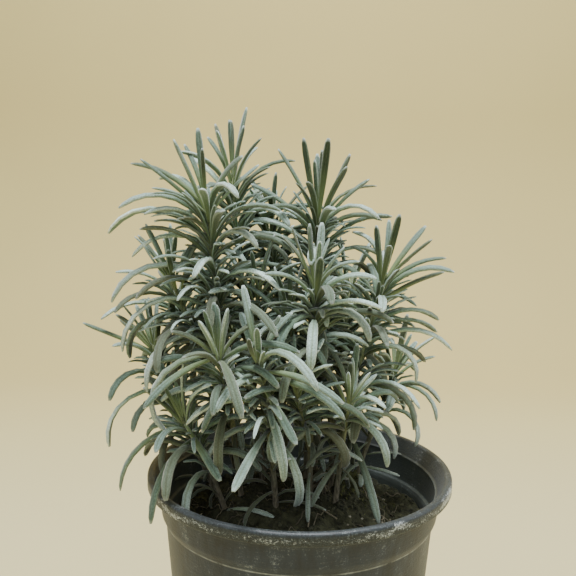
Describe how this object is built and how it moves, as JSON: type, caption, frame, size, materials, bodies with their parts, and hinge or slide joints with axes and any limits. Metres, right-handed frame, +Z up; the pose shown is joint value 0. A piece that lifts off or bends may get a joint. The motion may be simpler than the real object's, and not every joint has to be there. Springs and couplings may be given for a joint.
{
  "type": "potted lavender",
  "caption": "Young lavender with narrow arching grey-green leaves on several stems, in mounded soil in a round tapered plastic nursery pot with a rolled rim.",
  "frame": {"origin": "middle of the pot's base, on the surface that the pot stands on", "axes": "+Z up along the pot's axis, -Y towards the picture's camera, +X to its right"},
  "size_m": [0.1465, 0.1375, 0.2464],
  "materials": {
    "pot_plastic": "satin",
    "soil": "matte",
    "foliage": "matte"
  },
  "bodies": {
    "root": {"pot": "pot_plastic", "soil": "soil", "stem_left_tall": "foliage", "stem_right": "foliage", "stem_middle_tall": "foliage", "stem_front_middle": "foliage", "stem_front_left": "foliage", "stem_low_left": "foliage", "stem_far_left": "foliage", "stem_back_left_tall": "foliage", "stem_upper_left": "foliage", "stem_back_middle": "foliage", "stem_back_right": "foliage", "stem_low_right": "foliage", "stem_back_low_left": "foliage", "stem_back_low_right": "foliage", "stem_front_right": "foliage"}
  },
  "joints": []
}
